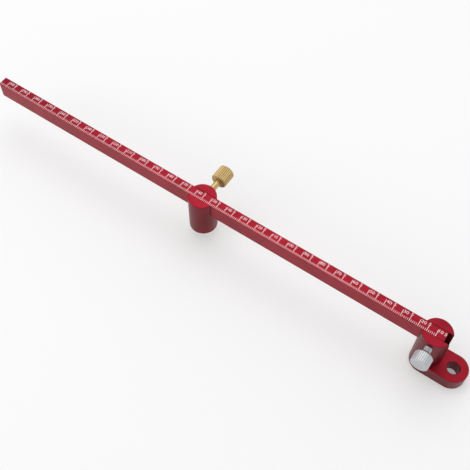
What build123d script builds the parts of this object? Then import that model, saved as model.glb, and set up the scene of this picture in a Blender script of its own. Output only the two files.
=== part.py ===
from build123d import *
import math
import os

# A carpenter's beam compass: a scaled bar carrying a fixed-end pencil head and a sliding pivot.
# Sizes are in millimetres and were read from the photograph against the bar's own scale.
# X 0, Y 0 is the axis of the pencil hole and Z 0 is the underside of the foot. +Z is up.
# The bar runs from the pencil head towards -X, with its centre plane at Y 0.

# Bar
BAR_LENGTH = 300.0
BAR_WIDTH = 5.9
BAR_DEPTH = 10.8
BAR_EDGE = 0.2
FIRST_READING = 5.0

# Pencil head and slider, both turned from the same round stock
BODY_RADIUS = 8.2
BODY_EDGE = 0.3
HEAD_HEIGHT = 35.3
SLIDER_HEIGHT = 27.3
HEAD_READING = 9.7
SLIDER_READING = 155.7

# Foot with the pencil hole
PENCIL_OFFSET = 15.4
PENCIL_RADIUS = 3.5
FOOT_THICKNESS = 9.3
FOOT_EDGE = 0.3
HOLE_EDGE = 0.3

# Pivot needle
NEEDLE_RADIUS = 1.5
NEEDLE_SEAT = 10.0
NEEDLE_CONE = 6.0
NEEDLE_TIP_RADIUS = 0.15

# Clamp screws, M4
SCREW_DEPTH = 4.8
SCREW_RADIUS = 1.95
SCREW_TIP_EDGE = 0.3
SLIDER_SCREW_HEAD_RADIUS = 4.8
SLIDER_SCREW_HEAD_START = 15.4
SLIDER_SCREW_HEAD_LENGTH = 9.1
HEAD_SCREW_HEAD_RADIUS = 4.9
HEAD_SCREW_HEAD_START = 11.7
HEAD_SCREW_HEAD_LENGTH = 7.5
KNURL_COUNT = 40
KNURL_DEPTH = 0.3
KNURL_EDGE = 0.5

# Pressure pads between the screw tips and the bar
PAD_RADIUS = 1.6
PAD_THICKNESS = 0.9
PAD_STEM_RADIUS = 0.7
PAD_STEM_LENGTH = 1.6
STEM_END_GAP = 0.3

# Fits
RUNNING_CLEARANCE = 0.05
SLOT_CLEARANCE = 0.1
PRESS_INTERFERENCE = 0.01

CUT_OVERRUN = 1.0

HEAD_X = -PENCIL_OFFSET
SLIDER_X = HEAD_X - (SLIDER_READING - HEAD_READING)
BAR_END_X = HEAD_X + (HEAD_READING - FIRST_READING)
SCREW_Z = HEAD_HEIGHT - SCREW_DEPTH
SCREW_HOLE_RADIUS = SCREW_RADIUS + RUNNING_CLEARANCE
PAD_START = BAR_WIDTH / 2 + RUNNING_CLEARANCE
SCREW_START = PAD_START + PAD_THICKNESS + RUNNING_CLEARANCE


def upright_cylinder(radius, bottom, top, x=0.0):
    """Cylinder on the centre plane, standing from one height to another."""
    return Pos(x, 0, (bottom + top) / 2) * Cylinder(radius, top - bottom)


def eased_body(x, height):
    """Round body hanging from the top plane, with both rims eased."""
    body = upright_cylinder(BODY_RADIUS, HEAD_HEIGHT - height, HEAD_HEIGHT, x)
    return chamfer(body.edges().filter_by(GeomType.CIRCLE), BODY_EDGE)


def bar_slot(x):
    """Open-topped slot that the bar runs through, as the block to cut away."""
    width = BAR_WIDTH + 2 * SLOT_CLEARANCE
    depth = BAR_DEPTH + SLOT_CLEARANCE + CUT_OVERRUN
    length = 2 * (BODY_RADIUS + CUT_OVERRUN)
    centre_z = HEAD_HEIGHT + CUT_OVERRUN - depth / 2
    return Pos(x, 0, centre_z) * Box(length, width, depth)


def screw_hole(x, side):
    """Hole for a clamp screw from the slot out through one side, as the pin to cut away."""
    length = BODY_RADIUS + CUT_OVERRUN
    return Pos(x, side * length / 2, SCREW_Z) * Rot(90, 0, 0) * Cylinder(SCREW_HOLE_RADIUS, length)


def scale_bar():
    """Rectangular bar with all its edges broken."""
    bar = Pos(BAR_END_X - BAR_LENGTH / 2, 0, HEAD_HEIGHT - BAR_DEPTH / 2) * Box(
        BAR_LENGTH, BAR_WIDTH, BAR_DEPTH
    )
    return chamfer(bar.edges(), BAR_EDGE)


def foot_tab():
    """Oblong foot, one round end about the head's axis and the other about the pencil hole."""
    oblong = upright_cylinder(BODY_RADIUS, 0, FOOT_THICKNESS)
    oblong += upright_cylinder(BODY_RADIUS, 0, FOOT_THICKNESS, HEAD_X)
    oblong += Pos(HEAD_X / 2, 0, FOOT_THICKNESS / 2) * Box(PENCIL_OFFSET, 2 * BODY_RADIUS, FOOT_THICKNESS)
    rims = oblong.edges().group_by(Axis.Z)
    return chamfer(rims[0] + rims[-1], FOOT_EDGE)


def pencil_hole():
    """Through hole with its upper mouth eased, as the tool to cut away."""
    hole = upright_cylinder(PENCIL_RADIUS, -CUT_OVERRUN, FOOT_THICKNESS + CUT_OVERRUN)
    mouth = Pos(0, 0, FOOT_THICKNESS - HOLE_EDGE / 2) * Cone(
        PENCIL_RADIUS, PENCIL_RADIUS + HOLE_EDGE, HOLE_EDGE
    )
    return hole + mouth


def pencil_head():
    """Slotted round head standing on its foot."""
    body = upright_cylinder(BODY_RADIUS, FOOT_THICKNESS / 2, HEAD_HEIGHT, HEAD_X)
    body = chamfer(body.edges().group_by(Axis.Z)[-1], BODY_EDGE)
    head = body + foot_tab()
    return head - bar_slot(HEAD_X) - screw_hole(HEAD_X, -1) - pencil_hole()


def slider_body():
    """Slotted round slider with a seat for the needle in its underside."""
    underside = HEAD_HEIGHT - SLIDER_HEIGHT
    seat_radius = NEEDLE_RADIUS - PRESS_INTERFERENCE
    seat = upright_cylinder(seat_radius, underside - CUT_OVERRUN, underside + NEEDLE_SEAT, SLIDER_X)
    body = eased_body(SLIDER_X, SLIDER_HEIGHT)
    return body - bar_slot(SLIDER_X) - screw_hole(SLIDER_X, 1) - seat


def pivot_needle():
    """Round steel needle, its point level with the underside of the foot."""
    top = HEAD_HEIGHT - SLIDER_HEIGHT + NEEDLE_SEAT
    shank = upright_cylinder(NEEDLE_RADIUS, NEEDLE_CONE, top, SLIDER_X)
    point = Pos(SLIDER_X, 0, NEEDLE_CONE / 2) * Cone(NEEDLE_TIP_RADIUS, NEEDLE_RADIUS, NEEDLE_CONE)
    return shank + point


def knurled_head(radius, start, length):
    """Straight-knurled screw head along +Z, both rims eased."""
    steps = 2 * KNURL_COUNT
    ring = []
    for i in range(steps):
        r = radius if i % 2 == 0 else radius - KNURL_DEPTH
        angle = 2 * math.pi * i / steps
        ring.append((r * math.cos(angle), r * math.sin(angle)))
    toothed = extrude(make_face(Polyline(*ring, close=True)), amount=length)
    blank = Pos(0, 0, length / 2) * Cylinder(radius, length)
    blank = chamfer(blank.edges().filter_by(GeomType.CIRCLE), KNURL_EDGE)
    return Pos(0, 0, start) * (toothed & blank)


def outward(side, x):
    """Placement that turns +Z outward along Y on one side, on a clamp screw's axis."""
    return Pos(x, 0, SCREW_Z) * Rot(-90 * side, 0, 0)


def thumbscrew(radius, start, length, side, x):
    """Knurled clamp screw with a blind hole in its tip for the pad's stem."""
    end = start + length / 2
    shank = Pos(0, 0, (SCREW_START + end) / 2) * Cylinder(SCREW_RADIUS, end - SCREW_START)
    shank = chamfer(shank.edges().group_by(Axis.Z)[0], SCREW_TIP_EDGE)
    depth = PAD_STEM_LENGTH + STEM_END_GAP
    seat = Pos(0, 0, SCREW_START + depth / 2) * Cylinder(PAD_STEM_RADIUS + RUNNING_CLEARANCE, depth)
    screw = shank + knurled_head(radius, start, length)
    return outward(side, x) * (screw - seat)


def pressure_pad(side, x):
    """Soft pad that bears on the bar, with a stem that turns freely in the screw's tip."""
    disc = Pos(0, 0, PAD_START + PAD_THICKNESS / 2) * Cylinder(PAD_RADIUS, PAD_THICKNESS)
    stem_length = PAD_STEM_LENGTH + PAD_THICKNESS / 2
    stem_start = PAD_START + PAD_THICKNESS / 2
    stem = Pos(0, 0, stem_start + stem_length / 2) * Cylinder(PAD_STEM_RADIUS, stem_length)
    return outward(side, x) * (disc + stem)


def slider_thumbscrew():
    """Brass screw on the back of the slider."""
    return thumbscrew(
        SLIDER_SCREW_HEAD_RADIUS, SLIDER_SCREW_HEAD_START, SLIDER_SCREW_HEAD_LENGTH, 1, SLIDER_X
    )


def head_thumbscrew():
    """Bright plated screw on the front of the pencil head."""
    return thumbscrew(
        HEAD_SCREW_HEAD_RADIUS, HEAD_SCREW_HEAD_START, HEAD_SCREW_HEAD_LENGTH, -1, HEAD_X
    )


NODES = {
    "scale_bar": scale_bar(),
    "pencil_head": pencil_head(),
    "head_thumbscrew": head_thumbscrew(),
    "head_pressure_pad": pressure_pad(-1, HEAD_X),
    "slider_body": slider_body(),
    "pivot_needle": pivot_needle(),
    "slider_thumbscrew": slider_thumbscrew(),
    "slider_pressure_pad": pressure_pad(1, SLIDER_X),
}

os.makedirs("parts", exist_ok=True)
for name, solid in NODES.items():
    export_step(solid, f"parts/{name}.step")
    box = solid.bounding_box()
    print(name, round(solid.volume, 1), len(solid.solids()), box.min, box.max)
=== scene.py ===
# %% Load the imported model
import math

import bpy
import numpy as np
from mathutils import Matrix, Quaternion, Vector


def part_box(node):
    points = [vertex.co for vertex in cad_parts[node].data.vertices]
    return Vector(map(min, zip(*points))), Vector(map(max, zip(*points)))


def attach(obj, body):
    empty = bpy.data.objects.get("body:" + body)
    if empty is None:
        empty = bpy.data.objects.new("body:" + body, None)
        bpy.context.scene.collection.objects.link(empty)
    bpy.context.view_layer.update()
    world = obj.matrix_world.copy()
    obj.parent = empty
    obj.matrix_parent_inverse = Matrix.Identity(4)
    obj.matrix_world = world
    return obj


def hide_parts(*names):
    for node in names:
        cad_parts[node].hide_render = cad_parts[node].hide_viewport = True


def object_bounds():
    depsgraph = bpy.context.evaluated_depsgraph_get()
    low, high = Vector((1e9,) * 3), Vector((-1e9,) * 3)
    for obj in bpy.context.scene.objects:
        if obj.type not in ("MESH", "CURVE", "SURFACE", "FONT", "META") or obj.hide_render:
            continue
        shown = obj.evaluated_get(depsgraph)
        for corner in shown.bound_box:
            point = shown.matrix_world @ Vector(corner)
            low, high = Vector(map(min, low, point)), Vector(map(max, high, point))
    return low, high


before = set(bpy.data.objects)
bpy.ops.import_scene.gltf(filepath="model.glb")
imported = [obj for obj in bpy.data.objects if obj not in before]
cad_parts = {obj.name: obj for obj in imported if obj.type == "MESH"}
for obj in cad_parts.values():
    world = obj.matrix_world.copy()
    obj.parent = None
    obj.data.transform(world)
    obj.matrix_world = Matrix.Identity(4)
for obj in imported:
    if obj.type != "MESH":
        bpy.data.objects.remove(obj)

cad_low, cad_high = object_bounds()
print("CAD box in mm:", [round(1000 * v, 1) for v in (*cad_low, *cad_high)])

# %% [markdown]
# # A carpenter's beam compass
# A red anodised bar carries a millimetre scale. A round head with a pencil hole is clamped at one
# end, and a round slider with a needle is clamped anywhere along it, each by a knurled thumbscrew.
# Blender works in metres and the tool is drawn in millimetres, so one value turns one into the
# other.

# %% Units and small helpers
MM = 0.001


def linear(hex_colour):
    """An sRGB colour such as "b01e3c", turned to the linear values that shaders use."""
    channels = np.array([int(hex_colour[i:i + 2], 16) / 255 for i in (0, 2, 4)])
    low = channels / 12.92
    high = ((channels + 0.055) / 1.055) ** 2.4
    return (*np.where(channels <= 0.04045, low, high).tolist(), 1.0)


def add(tree, kind, settings=None, inputs=None, links=None):
    """Adds one node. settings are its own properties, inputs its socket values, and links
    joins its input sockets to (node, output socket) pairs."""
    node = tree.nodes.new(kind)
    for key, value in (settings or {}).items():
        setattr(node, key, value)
    for key, value in (inputs or {}).items():
        node.inputs[key].default_value = value
    for key, (source, socket) in (links or {}).items():
        tree.links.new(source.outputs[socket], node.inputs[key])
    return node


def new_material(name):
    """An empty node material, its node tree and its output node."""
    material = bpy.data.materials.new(name)
    material.use_nodes = True
    material.node_tree.nodes.clear()
    output = add(material.node_tree, "ShaderNodeOutputMaterial")
    return material, material.node_tree, output


print("a millimetre in metres:", MM)

# %% [markdown]
# ## Red anodised aluminium
# Anodising grows a clear glassy skin on aluminium and dyes it. The eye sees coloured metal under
# a thin colourless gloss. A plain red plastic would lose the metal, and red paint would hide the
# machining. So this is a metallic surface under a weak coat, with the fine lines of machining:
# along the bar, as if it was drawn and brushed, and round the turned bodies. The photo shows the
# bodies' walls darker and browner than the bar's side, and their flat ends about as bright as its
# top. That darkness is shade from how the light falls, and here it is painted shade: the walls
# are matched with darker, browner colours of their own, which start under the eased edge of each
# upper flat end. The reason isn't known, so the walls are matched by eye, with colours of their
# own that start under the eased edge of each upper flat end.

# %% Red anodised aluminium
ANODISED_DARK = "881020"
ANODISED_LIGHT = "9c172b"
# Painted shade: the turned bodies' walls get these darker, browner colours in place of shade from
# the light.
WALL_PAINTED_SHADE_DARK = "661119"
WALL_PAINTED_SHADE_LIGHT = "781a25"
FOOT_TOP = 9.3 * MM
EASED_EDGE = 0.3 * MM      # the chamfer round each flat end
EDGE_SLACK = 0.01 * MM     # so that faces exactly at these heights count too
DYE_PATCH = 9 * MM
BRUSHED_LINE = 0.35 * MM   # drawn coarser than real lines, so that they show
LINE_STRETCH = 60          # a line is this many times longer than it is wide
LINE_SHARE = 0.45          # how strongly the lines colour the dye, beside its patches
PATTERN_LOW = 0.5          # the pattern's value where the dye is darkest
PATTERN_HIGH = 0.95        # and where it is lightest


def ramp(tree, source, dark, light):
    """A colour between dark and light, by where the source's value lies in the pattern's range."""
    node = add(tree, "ShaderNodeValToRGB", links={"Fac": (source, "Value")})
    for end, position, colour in ((0, PATTERN_LOW, dark), (1, PATTERN_HIGH, light)):
        node.color_ramp.elements[end].position = position
        node.color_ramp.elements[end].color = linear(colour)
    return node


# The mask that keeps the painted shade off the upper flat ends.
def flat_end(tree, place):
    """1 from the height of an upper flat end down to the foot of its eased edge, and else 0."""
    height = add(tree, "ShaderNodeSeparateXYZ", links={"Vector": (place, "Object")})
    near = [add(tree, "ShaderNodeMath", {"operation": "COMPARE"},
                {1: level - EASED_EDGE / 2, 2: EASED_EDGE / 2 + EDGE_SLACK}, {0: (height, "Z")})
            for level in (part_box("pencil_head")[1].z, FOOT_TOP)]
    return add(tree, "ShaderNodeMath", {"operation": "MAXIMUM"},
               links={0: (near[0], "Value"), 1: (near[1], "Value")})


def anodised(name, grain_stretch, painted_shade_walls):
    """Red anodised metal. grain_stretch is how many times longer a machining line is than it is
    wide, for the three axes. painted_shade_walls gives all but the upper flat ends darker colours,
    a painted shade on the walls."""
    material, tree, output = new_material(name)
    place = add(tree, "ShaderNodeTexCoord")
    patches = add(tree, "ShaderNodeTexNoise", inputs={"Scale": 1 / DYE_PATCH, "Detail": 3.0},
                  links={"Vector": (place, "Object")})
    stretched = add(tree, "ShaderNodeMapping",
                    inputs={"Scale": tuple(1 / (BRUSHED_LINE * s) for s in grain_stretch)},
                    links={"Vector": (place, "Object")})
    lines = add(tree, "ShaderNodeTexNoise", inputs={"Scale": 1.0, "Detail": 4.0, "Roughness": 0.6},
                links={"Vector": (stretched, "Vector")})
    both = add(tree, "ShaderNodeMath", {"operation": "MULTIPLY_ADD"}, {1: LINE_SHARE},
               {0: (lines, "Fac"), 2: (patches, "Fac")})
    dye_and_painted_shade = (ramp(tree, both, ANODISED_DARK, ANODISED_LIGHT), "Color")
    # Painted shade: the walls take the darker ramp, and only the upper flat ends keep the plain dye
    # colour.
    if painted_shade_walls:
        walls = (ramp(tree, both, WALL_PAINTED_SHADE_DARK, WALL_PAINTED_SHADE_LIGHT), "Color")
        dye_and_painted_shade = (add(tree, "ShaderNodeMix", {"data_type": "RGBA"}, links={
            "Factor": (flat_end(tree, place), "Value"), "A": walls, "B": dye_and_painted_shade}), "Result")
    gloss = add(tree, "ShaderNodeMapRange",
                inputs={"From Min": 0.3, "From Max": 0.7, "To Min": 0.34, "To Max": 0.48},
                links={"Value": (lines, "Fac")})
    relief = add(tree, "ShaderNodeBump", inputs={"Strength": 0.25, "Distance": 0.01 * MM},
                 links={"Height": (lines, "Fac")})
    shader = add(tree, "ShaderNodeBsdfPrincipled",
                 inputs={"Metallic": 0.88, "Coat Weight": 0.06, "Coat Roughness": 0.3},
                 links={"Base Color": dye_and_painted_shade, "Roughness": (gloss, "Result"),
                        "Normal": (relief, "Normal")})
    tree.links.new(shader.outputs["BSDF"], output.inputs["Surface"])
    return material


bar_finish = anodised("anodised_aluminium_brushed_along", (LINE_STRETCH, 1, 1), painted_shade_walls=False)
# The turned bodies carry painted shade on their walls.
turned_finish_painted_shade = anodised("anodised_aluminium_turned_painted_shade", (LINE_STRETCH, LINE_STRETCH, 1),
                         painted_shade_walls=True)
print("red finishes:", bar_finish.name, turned_finish_painted_shade.name)

# %% [markdown]
# ## Etched marks
# The scale is taken as burned in by a laser, which bleaches the dyed skin and leaves it pale and
# dull. It could be painted in the bar's material, but marks that are their own thin mesh stay
# crisp at any size and can be counted.

# %% Laser-etched aluminium
ETCHED_PALE = "faf0f1"
ETCHED_PINK = "f0cdd2"
SPECK = 0.8 * MM


def etched():
    """A pale dull skin with a trace of the red dye left in it."""
    material, tree, output = new_material("laser_etched_aluminium")
    place = add(tree, "ShaderNodeTexCoord")
    specks = add(tree, "ShaderNodeTexNoise", inputs={"Scale": 1 / SPECK, "Detail": 2.0},
                 links={"Vector": (place, "Object")})
    tint = add(tree, "ShaderNodeMix", {"data_type": "RGBA"},
               {"A": linear(ETCHED_PINK), "B": linear(ETCHED_PALE)}, {"Factor": (specks, "Fac")})
    shader = add(tree, "ShaderNodeBsdfPrincipled", inputs={"Metallic": 0.1, "Roughness": 0.7},
                 links={"Base Color": (tint, "Result")})
    tree.links.new(shader.outputs["BSDF"], output.inputs["Surface"])
    return material


etched_finish = etched()
print("finish of the marks:", etched_finish.name)

# %% [markdown]
# ## Brass, plated steel and the needle
# Turned metal is bright on the crests that fingers rub and duller in the grooves. The knurl's
# own mesh says which is which in an attribute named "crest", so the wear follows the teeth. The
# needle has no such attribute, so it keeps the grooves' colour, with the tool marks alone. The
# marks are narrow along Y and long in X and Z, so they run round the screws and down the needle.

# %% Machined metals
CREST = "crest"
LONG_WAY_SHARE = 0.1       # the marks are ten times as long as they are wide
MARK_SHARE = 0.15          # how strongly the marks colour the metal, beside its wear


def machined(name, groove, crest, groove_roughness, crest_roughness, line):
    """Solid metal, duller and darker in its grooves than on its crests, with fine tool marks whose
    width along Y is line."""
    material, tree, output = new_material(name)
    place = add(tree, "ShaderNodeTexCoord")
    stretched = add(tree, "ShaderNodeMapping",
                    inputs={"Scale": (LONG_WAY_SHARE / line, 1 / line, LONG_WAY_SHARE / line)},
                    links={"Vector": (place, "Object")})
    marks = add(tree, "ShaderNodeTexNoise", inputs={"Scale": 1.0, "Detail": 4.0},
                links={"Vector": (stretched, "Vector")})
    worn = add(tree, "ShaderNodeAttribute", {"attribute_name": CREST})
    mixed = add(tree, "ShaderNodeMath", {"operation": "MULTIPLY_ADD", "use_clamp": True},
                {1: MARK_SHARE}, {0: (marks, "Fac"), 2: (worn, "Fac")})
    tint = add(tree, "ShaderNodeMix", {"data_type": "RGBA"},
               {"A": linear(groove), "B": linear(crest)}, {"Factor": (mixed, "Value")})
    gloss = add(tree, "ShaderNodeMapRange",
                inputs={"To Min": groove_roughness, "To Max": crest_roughness},
                links={"Value": (mixed, "Value")})
    relief = add(tree, "ShaderNodeBump", inputs={"Strength": 0.2, "Distance": 0.01 * MM},
                 links={"Height": (marks, "Fac")})
    shader = add(tree, "ShaderNodeBsdfPrincipled", inputs={"Metallic": 1.0},
                 links={"Base Color": (tint, "Result"), "Roughness": (gloss, "Result"),
                        "Normal": (relief, "Normal")})
    tree.links.new(shader.outputs["BSDF"], output.inputs["Surface"])
    return material


# Machined brass: warm yellow, browner down in the grooves.
brass_finish = machined("machined_brass", groove="7f6437", crest="d6b982",
                        groove_roughness=0.42, crest_roughness=0.3, line=0.3 * MM)
# Nickel plated steel: a cool, even and rather soft grey.
plated_finish = machined("nickel_plated_steel", groove="a4a6aa", crest="d2d4d7",
                         groove_roughness=0.5, crest_roughness=0.44, line=0.3 * MM)
# Ground steel: smoother than the others, with finer marks.
needle_finish = machined("ground_steel", groove="b0b0b5", crest="cfcfd4",
                         groove_roughness=0.3, crest_roughness=0.22, line=0.2 * MM)
print("metals:", brass_finish.name, plated_finish.name, needle_finish.name)

# %% [markdown]
# ## Nylon
# The pads in the screws' tips aren't seen in the photo and are taken as moulded nylon, which lets
# a little light in. A plain pale plastic would look chalky, so the shader has a trace of
# subsurface light.

# %% Moulded nylon
NYLON_SHADE = "d8d4c8"
NYLON_LIGHT = "ece9e0"
NYLON_CLOUD = 1.5 * MM


def nylon():
    """Moulded nylon: milky, slightly uneven and soft in its gloss."""
    material, tree, output = new_material("moulded_nylon")
    place = add(tree, "ShaderNodeTexCoord")
    cloud = add(tree, "ShaderNodeTexNoise", inputs={"Scale": 1 / NYLON_CLOUD, "Detail": 2.0},
                links={"Vector": (place, "Object")})
    tint = add(tree, "ShaderNodeMix", {"data_type": "RGBA"},
               {"A": linear(NYLON_SHADE), "B": linear(NYLON_LIGHT)}, {"Factor": (cloud, "Fac")})
    relief = add(tree, "ShaderNodeBump", inputs={"Strength": 0.15, "Distance": 0.02 * MM},
                 links={"Height": (cloud, "Fac")})
    shader = add(tree, "ShaderNodeBsdfPrincipled",
                 inputs={"Roughness": 0.5, "IOR": 1.53, "Subsurface Weight": 0.1,
                         "Subsurface Scale": 0.5 * MM},
                 links={"Base Color": (tint, "Result"), "Normal": (relief, "Normal")})
    tree.links.new(shader.outputs["BSDF"], output.inputs["Surface"])
    return material


nylon_finish = nylon()
print("finish of the pads:", nylon_finish.name)

# %% [markdown]
# ## The CAD solids that stay
# The bar, both round bodies, the needle and the pads have their true shapes already. They keep
# their meshes and only get finishes.

# %% Give the CAD solids their finishes
finishes = {
    "scale_bar": bar_finish,
    "pencil_head": turned_finish_painted_shade,
    "slider_body": turned_finish_painted_shade,
    "pivot_needle": needle_finish,
    "head_pressure_pad": nylon_finish,
    "slider_pressure_pad": nylon_finish,
}
for node, finish in finishes.items():
    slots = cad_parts[node].data.materials
    slots.clear()
    slots.append(finish)
print("solids with finishes:", len(finishes))

# %% [markdown]
# ## Surfaces from arrays
# Every new piece is a grid of points worked out at once with numpy. Rows run along the piece and
# columns run round it, and one vertex closes each end.

# %% Turn a grid of rings into a closed mesh
SHARP_ANGLE = math.radians(35)
END_WEAR = 0.5            # wear at the two points that close a piece


def finish_piece(mesh, name, material, body):
    """Smooths the mesh between sharp edges, and makes it a piece that rides on a body."""
    mesh.polygons.foreach_set("use_smooth", np.ones(len(mesh.polygons), bool))
    mesh.set_sharp_from_angle(angle=SHARP_ANGLE)
    mesh.materials.append(material)
    piece = bpy.data.objects.new(name, mesh)
    bpy.context.scene.collection.objects.link(piece)
    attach(piece, body)
    return piece


def ring_mesh(name, rings, start, end, crest):
    """Closed mesh through rings, an array of rows by columns by xyz in metres. start and end are
    the points that close it, and crest holds each ring point's wear. Each face joins a point,
    the next in its ring, and the same two in the next ring."""
    rows, columns = rings.shape[:2]
    points = np.vstack([[start], rings.reshape(-1, 3), [end]])
    here = 1 + np.arange(rows * columns).reshape(rows, columns)
    beside = np.roll(here, -1, axis=1)
    walls = np.stack([here[:-1], beside[:-1], beside[1:], here[1:]], axis=-1).reshape(-1, 4)
    last = np.full(columns, len(points) - 1)
    first_fan = np.stack([np.zeros(columns, int), beside[0], here[0]], axis=-1)
    last_fan = np.stack([last, here[-1], beside[-1]], axis=-1)
    mesh = bpy.data.meshes.new(name)
    mesh.from_pydata(points.tolist(), [], walls.tolist() + first_fan.tolist() + last_fan.tolist())
    wear = mesh.attributes.new(CREST, "FLOAT", "POINT")
    values = np.concatenate([[END_WEAR], crest.ravel(), [END_WEAR]])
    wear.data.foreach_set("value", values.astype(np.float32))
    mesh.update()
    return mesh


print("edges count as sharp from", round(math.degrees(SHARP_ANGLE)), "degrees")

# %% [markdown]
# ## Knurled thumbscrews
# A straight knurl is rolled into the rim with a toothed wheel, so the teeth are V grooves with
# narrow flat crests. An array of small wedges would do, but one surface whose radius drops in
# each groove has no joints in it. The thread is the same idea turned: its radius rises and falls
# along a helix, one pitch in each turn, and fades where the real thread runs out.

# %% Points about a screw's axis
SHANK_RADIUS = 1.94 * MM


def on_axis(side, centre, along, radius, angle):
    """Points at a distance along a screw's axis and a radius from it. Along Y, outward on the
    side's own side, and round in X and Z."""
    x = centre.x + radius * np.cos(angle)
    y = side * along + 0 * angle
    z = centre.z - side * radius * np.sin(angle)
    return np.stack([x, y, z], axis=-1)


print("shank across in mm:", round(2 * SHANK_RADIUS / MM, 2))

# %% The knurled head
TEETH = 26
STEPS_PER_TOOTH = 12
CREST_CLIP = 1.35         # the groove's wave is this tall and clipped at 1, so crests are flat
FACE_WEAR = 0.6
RIM = 0.5 * MM
RIM_ALONG = 0.15          # the rim's middle, as shares of the rim's width
RIM_DROP = 0.6
SHOULDER_ALONG = 0.4      # the slope's middle, as shares of the shoulder's width
SHOULDER_DROP = 0.6
FADE_START = 1.2          # the teeth begin this many rims inside the radius
FADE_WIDTH = 0.4          # and are at their full depth this many rims further out
DISH_RADIUS = 0.55        # share of the head's radius that is faced a little lower
DISH_DEPTH = 0.12 * MM


def knurled_head(name, side, centre, start, end, radius, shoulder, tooth, material, body):
    """A profile carried round the axis: up the under-face, out over a sloping shoulder, along the
    knurl, round the rim and in over a shallow dish. In the knurl the radius drops by tooth, the
    depth of a groove, times one minus a clipped triangle wave of the angle."""
    dish = DISH_RADIUS * radius
    profile = np.array([
        (start, SHANK_RADIUS), (start, radius - shoulder),
        (start + SHOULDER_ALONG * shoulder, radius - SHOULDER_DROP * shoulder),
        (start + shoulder, radius), (start + shoulder + RIM, radius), ((start + end) / 2, radius),
        (end - 2 * RIM, radius), (end - RIM, radius),
        (end - RIM_ALONG * RIM, radius - RIM_DROP * RIM),
        (end, radius - RIM), (end, dish), (end - DISH_DEPTH, dish - DISH_DEPTH),
    ])
    angle = np.linspace(0, 2 * np.pi, TEETH * STEPS_PER_TOOTH, endpoint=False)[None, :]
    phase = np.abs(2 * ((angle * TEETH / (2 * np.pi)) % 1) - 1)
    height = np.clip(CREST_CLIP * phase, 0, 1)
    along, base = profile[:, :1], profile[:, 1:]
    knurled = np.clip((base - (radius - FADE_START * RIM)) / (FADE_WIDTH * RIM), 0, 1)
    drop = tooth * (1 - height) * knurled
    rings = on_axis(side, centre, along, base - drop, angle + 0 * along)
    crest = np.where(knurled > 0.5, height + 0 * along, FACE_WEAR)
    tip = on_axis(side, centre, start, 0, 0)
    cap = on_axis(side, centre, end - DISH_DEPTH, 0, 0)
    mesh = ring_mesh(name, rings, tip, cap, crest)
    return finish_piece(mesh, name, material, body)


print("teeth:", TEETH, "points round a head:", TEETH * STEPS_PER_TOOTH)

# %% The threaded shank
THREAD_PITCH = 0.7 * MM
THREAD_DEPTH = 0.28 * MM
THREAD_CLIP = 1.3         # as the crest's clip, for the thread's wave
NECK_RADIUS = 1.9 * MM
NECK_WEAR = 0.7
RINGS_PER_PITCH = 10
STEPS_PER_TURN = 40
RUN_OUT = 0.8 * MM
TIP_TAPER = 0.15          # share of the radius that a whole taper would take off the tip
LEAD_START = 0.3          # how much of that taper the very tip goes without


def threaded_shank(name, side, centre, start, end, run_out, material, body):
    """A ring at about every tenth of a pitch. The radius is the shank's, less the thread's depth
    times one minus a clipped triangle wave of how far along less how far round. It is faded to
    the neck's radius at run_out, and the tip tapers within the first pitch."""
    count = int((end - start) / (THREAD_PITCH / RINGS_PER_PITCH)) + 1
    along = np.linspace(start, end, count)[:, None]
    angle = np.linspace(0, 2 * np.pi, STEPS_PER_TURN, endpoint=False)[None, :]
    turn = (along / THREAD_PITCH - side * angle / (2 * np.pi)) % 1
    wave = np.clip(THREAD_CLIP * np.abs(2 * turn - 1), 0, 1)
    fade = np.clip((run_out - along) / RUN_OUT, 0, 1)
    lead = np.clip((along - start) / THREAD_PITCH + LEAD_START, 0, 1)
    threaded = SHANK_RADIUS - THREAD_DEPTH * (1 - wave)
    radius = (NECK_RADIUS + (threaded - NECK_RADIUS) * fade) * (1 - TIP_TAPER + TIP_TAPER * lead)
    rings = on_axis(side, centre, along, radius, angle + 0 * along)
    crest = wave * fade + NECK_WEAR * (1 - fade)
    tip = on_axis(side, centre, start, 0, 0)
    cap = on_axis(side, centre, end, 0, 0)
    mesh = ring_mesh(name, rings, tip, cap, crest)
    return finish_piece(mesh, name, material, body)


print("thread pitch in mm:", round(THREAD_PITCH / MM, 2))

# %% [markdown]
# The brass screw on the slider shows a smooth neck and deep teeth. The plated one on the head has
# shallow teeth and a wide sloping shoulder, and is threaded right up to its head. Where each sits
# and how far it reaches is read from the CAD solid's box.

# %% Make both thumbscrews
HEAD_SINK = 0.4 * MM      # how far the shank reaches into the head


def thumbscrew(node, side, head_length, neck, shoulder, tooth, material, body):
    """Builds a knurled head and a shank in place of a CAD screw on one side of the bar. neck is
    the smooth length under the head, where less than zero runs the thread on into the head,
    shoulder the width of the slope round the under-face, and tooth the depth of a groove."""
    low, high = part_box(node)
    centre = (low + high) / 2
    start, end = (low.y, high.y) if side > 0 else (-high.y, -low.y)
    radius = (high.x - low.x) / 2
    head_start = end - head_length
    head = knurled_head(node + "_knurl", side, centre, head_start, end, radius, shoulder,
                        tooth, material, body)
    shank = threaded_shank(node + "_shank", side, centre, start, head_start + HEAD_SINK,
                           head_start - neck, material, body)
    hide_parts(node)
    print(node, "head", round((end - head_start) / MM, 2), "mm long, faces",
          len(head.data.polygons), "shank faces", len(shank.data.polygons))


thumbscrew("slider_thumbscrew", side=1, head_length=9.1 * MM, neck=6.2 * MM,
           shoulder=0.5 * MM, tooth=0.3 * MM,
           material=brass_finish, body="slider_screw")
thumbscrew("head_thumbscrew", side=-1, head_length=7.5 * MM, neck=-1.0 * MM,
           shoulder=1.4 * MM, tooth=0.14 * MM,
           material=plated_finish, body="head_screw")

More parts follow.
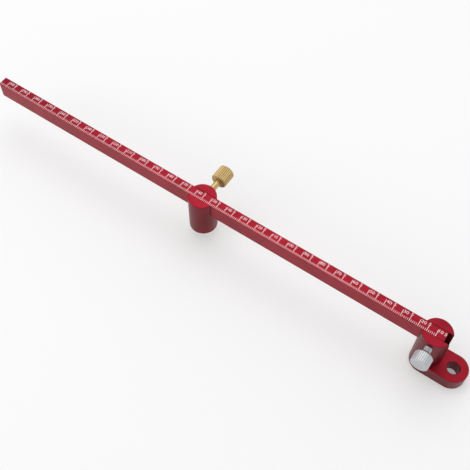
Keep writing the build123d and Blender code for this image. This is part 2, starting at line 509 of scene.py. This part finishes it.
# %% [markdown]
# ## The scale
# Reading 10 is the first long mark from the head's end, and the end itself is at 5. Every mark is
# a thin closed bar lying on the top face. They could be an Array modifier, but the three lengths
# follow from the reading, so one array of readings gives them all.

# %% Make the marks
FIRST_READING = 5
FIRST_MARK = 10
LAST_MARK = 304
LAST_NUMBER = 300
LONG_STEP = 10            # millimetres from one long, numbered mark to the next
MIDDLE_STEP = 5           # and to the middle mark between them
LONG_MARK = 4.5 * MM
MIDDLE_MARK = 3.7 * MM
SHORT_MARK = 1.6 * MM
LONG_WIDTH = 0.3 * MM
SHORT_WIDTH = 0.24 * MM
MARK_INSET = 0.22 * MM
MARK_RISE = 0.012 * MM
MARK_SINK = 0.02 * MM

bar_low, bar_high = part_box("scale_bar")
top = bar_high.z


def at_reading(reading):
    """Where a reading stands along X: the bar's head end is the first reading."""
    return bar_high.x - (reading - FIRST_READING) * MM


def make_marks():
    """One thin block for each millimetre. Its eight corners are its low and high corner, taken in
    every combination, and its length depends on whether the reading divides by 10 or by 5."""
    reading = np.arange(FIRST_MARK, LAST_MARK + 1)
    length = np.where(reading % LONG_STEP == 0, LONG_MARK,
                      np.where(reading % MIDDLE_STEP == 0, MIDDLE_MARK, SHORT_MARK))
    width = np.where(reading % MIDDLE_STEP == 0, LONG_WIDTH, SHORT_WIDTH)
    x = at_reading(reading)
    front = np.full(len(x), bar_low.y + MARK_INSET)
    low = np.stack([x - width / 2, front, np.full(len(x), top - MARK_SINK)], axis=-1)
    high = np.stack([x + width / 2, bar_low.y + length, np.full(len(x), top + MARK_RISE)], axis=-1)
    pick = np.array([(i, j, k) for k in (0, 1) for j in (0, 1) for i in (0, 1)])
    corners = np.where(pick[None] == 1, high[:, None], low[:, None])
    sides = np.array([(0, 2, 3, 1), (4, 5, 7, 6), (0, 1, 5, 4),
                      (2, 6, 7, 3), (0, 4, 6, 2), (1, 3, 7, 5)])
    faces = sides[None] + len(pick) * np.arange(len(x))[:, None, None]
    mesh = bpy.data.meshes.new("scale_marks")
    mesh.from_pydata(corners.reshape(-1, 3).tolist(), [], faces.reshape(-1, 4).tolist())
    mesh.update()
    finish_piece(mesh, "scale_marks", etched_finish, "bar")
    print("marks:", len(x))


make_marks()

# %% [markdown]
# ## The numbers
# Each ten has its number just right of its long mark, and each five between has a 5 over its
# middle mark. Blender's own text gives the outlines. Every number is made once as a mesh, scaled
# to its height on the bar and moved to its mark, and all are joined in one piece.

# %% Make the numbers
NUMBER_HEIGHT = 1.75 * MM
NUMBER_WIDTH = 1.2        # times as wide as the font draws them
LONG_NUMBER_WIDTH = 0.95  # the same for three digits, which stay clear of the five
NUMBER_BASE = 3.1 * MM
NUMBER_GAP = 0.45 * MM
FIVE_BASE = 3.75 * MM
END_MARGIN = 0.75 * MM


def outline(words):
    """Points and faces of one number, 1 high and 1 thick, as wide as the font makes it, with its
    corner at zero."""
    curve = bpy.data.curves.new("number", "FONT")
    curve.body = words
    curve.resolution_u = 3
    curve.extrude = 0.5
    holder = bpy.data.objects.new("number", curve)
    mesh = bpy.data.meshes.new_from_object(holder)
    points = np.zeros(len(mesh.vertices) * 3, np.float32)
    mesh.vertices.foreach_get("co", points)
    faces = [tuple(p.vertices) for p in mesh.polygons]
    points = points.reshape(-1, 3).astype(float)
    points -= points.min(axis=0)
    points[:, :2] /= points[:, 1].max()
    points[:, 2] /= points[:, 2].max()
    bpy.data.objects.remove(holder)
    bpy.data.curves.remove(curve)
    bpy.data.meshes.remove(mesh)
    return points, faces


def make_numbers():
    """Tens stand right of their marks, fives are centred on theirs, and one more five stands at
    the bar's end."""
    points, faces, used = [], [], 0
    tens = range(FIRST_MARK, LAST_NUMBER + 1, LONG_STEP)
    fives = range(FIRST_MARK + MIDDLE_STEP, LAST_NUMBER, LONG_STEP)
    shapes = {words: outline(words) for words in ["5"] + [str(n) for n in tens]}
    places = [(str(n), at_reading(n) + NUMBER_GAP, NUMBER_BASE, False) for n in tens]
    places += [("5", at_reading(n), FIVE_BASE, True) for n in fives]
    places += [("5", at_reading(FIRST_READING) - END_MARGIN, NUMBER_BASE, True)]
    for words, x, base, centred in places:
        shape, sides = shapes[words]
        width = LONG_NUMBER_WIDTH if len(words) == 3 else NUMBER_WIDTH
        moved = shape * (NUMBER_HEIGHT * width, NUMBER_HEIGHT, MARK_SINK + MARK_RISE)
        moved[:, 0] += x - (moved[:, 0].max() / 2 if centred else 0)
        moved += (0, bar_low.y + base, top - MARK_SINK)
        points.append(moved)
        faces += [tuple(used + i for i in side) for side in sides]
        used += len(moved)
    mesh = bpy.data.meshes.new("scale_numbers")
    mesh.from_pydata(np.vstack(points).tolist(), [], faces)
    mesh.update()
    finish_piece(mesh, "scale_numbers", etched_finish, "bar")
    print("numbers:", len(places), "points:", used)


make_numbers()

# %% [markdown]
# ## Floor and background
# The tool stands on white paper in even light. More light would whiten the paper, but would bleach
# the tool too. So a quarter of the paper's white doesn't depend on the lamps, for the camera and
# for metal that mirrors it, and the rest takes the tool's soft shadow.

# %% Floor and background
FLOOR_HALF = 2.0
SHEET_GAP = 0.02 * MM
SHEET_SHARE = 0.25        # how much of the sheet's white doesn't depend on the lamps
PAPER = "fafafa"
WHITE = (1, 1, 1, 1)
AIR_LIGHT = 0.78          # the world's light on the tool, where 1 is white


def whitened(tree, share):
    """A factor that is the given share for rays from the camera or from a mirror-like surface."""
    rays = add(tree, "ShaderNodeLightPath")
    seen = add(tree, "ShaderNodeMath", {"operation": "MAXIMUM"},
               links={0: (rays, "Is Camera Ray"), 1: (rays, "Is Glossy Ray")})
    return add(tree, "ShaderNodeMath", {"operation": "MULTIPLY"}, {1: share}, {0: (seen, "Value")})


def make_floor():
    """A square sheet just under the lowest point of the tool."""
    level = cad_low.z - SHEET_GAP
    corners = np.array([(-1, -1, 0), (1, -1, 0), (1, 1, 0), (-1, 1, 0)]) * FLOOR_HALF
    mesh = bpy.data.meshes.new("studio_sheet")
    mesh.from_pydata((corners + (0, 0, level)).tolist(), [], [(0, 1, 2, 3)])
    material, tree, output = new_material("white_paper")
    paper = add(tree, "ShaderNodeBsdfDiffuse", inputs={"Color": linear(PAPER)})
    glow = add(tree, "ShaderNodeEmission", inputs={"Color": WHITE, "Strength": 1.0})
    mix = add(tree, "ShaderNodeMixShader", links={0: (whitened(tree, SHEET_SHARE), "Value"),
                                                  1: (paper, "BSDF"), 2: (glow, "Emission")})
    tree.links.new(mix.outputs["Shader"], output.inputs["Surface"])
    mesh.materials.append(material)
    floor = bpy.data.objects.new("studio_sheet", mesh)
    bpy.context.scene.collection.objects.link(floor)
    print("sheet at a height of", round(level / MM, 2), "mm")


def make_world():
    """Even grey light all round, which the camera sees as white."""
    world = bpy.data.worlds.new("studio_air")
    bpy.context.scene.world = world
    world.use_nodes = True
    tree = world.node_tree
    tree.nodes.clear()
    rays = add(tree, "ShaderNodeLightPath")
    dim = add(tree, "ShaderNodeBackground", inputs={"Color": WHITE, "Strength": AIR_LIGHT})
    white = add(tree, "ShaderNodeBackground", inputs={"Color": WHITE, "Strength": 1.0})
    mix = add(tree, "ShaderNodeMixShader", links={0: (rays, "Is Camera Ray"),
                                                  1: (dim, "Background"), 2: (white, "Background")})
    output = add(tree, "ShaderNodeOutputWorld")
    tree.links.new(mix.outputs["Shader"], output.inputs["Surface"])


make_floor()
make_world()

# %% [markdown]
# ## Lamps
# A large soft lamp hangs above the tool, a little behind and to the left, and a smaller and weaker
# one stands at the front left. Both are broad, so that the shadow on the sheet has a soft edge.

# %% Lamps
SUBJECT = Vector((-150, 0, 25)) * MM


def lamp(name, place, size, watts):
    """A square soft box aimed at the middle of the tool."""
    light = bpy.data.lights.new(name, "AREA")
    light.size = size
    light.energy = watts
    holder = bpy.data.objects.new(name, light)
    holder.location = place
    holder.rotation_mode = "QUATERNION"
    holder.rotation_quaternion = (SUBJECT - Vector(place)).to_track_quat("-Z", "Y")
    bpy.context.scene.collection.objects.link(holder)
    print(name, "is", round((SUBJECT - Vector(place)).length, 2), "m from the tool")


lamp("overhead_box", place=(-0.35, 0.3, 0.85), size=0.7, watts=1.9)
lamp("front_left_box", place=(-0.7, -0.7, 0.5), size=0.5, watts=1.0)

# %% [markdown]
# ## Camera
# The camera's place, direction, roll and lens were solved from the scale's own marks in the photo,
# so that the render can be laid over it.

# %% Camera
CAMERA_AT = Vector((-6.37, -197.68, 410.91)) * MM
CAMERA_AZIMUTH = math.radians(33.912)
CAMERA_ELEVATION = math.radians(59.037)
CAMERA_ROLL = math.radians(0.456)
CAMERA_LENS = 62.13
CLIP_START = 10 * MM

view_from = bpy.data.cameras.new("camera")
view_from.lens = CAMERA_LENS
view_from.clip_start = CLIP_START
camera = bpy.data.objects.new("camera", view_from)
camera.location = CAMERA_AT
forward = Vector((-math.sin(CAMERA_AZIMUTH) * math.cos(CAMERA_ELEVATION),
                  math.cos(CAMERA_AZIMUTH) * math.cos(CAMERA_ELEVATION),
                  -math.sin(CAMERA_ELEVATION)))
camera.rotation_mode = "QUATERNION"
camera.rotation_quaternion = (Quaternion(forward, -CAMERA_ROLL)
                              @ forward.to_track_quat("-Z", "Y"))
bpy.context.scene.collection.objects.link(camera)
bpy.context.scene.camera = camera
bpy.context.scene.view_settings.view_transform = "Standard"
print("camera looks along", [round(v, 3) for v in forward])
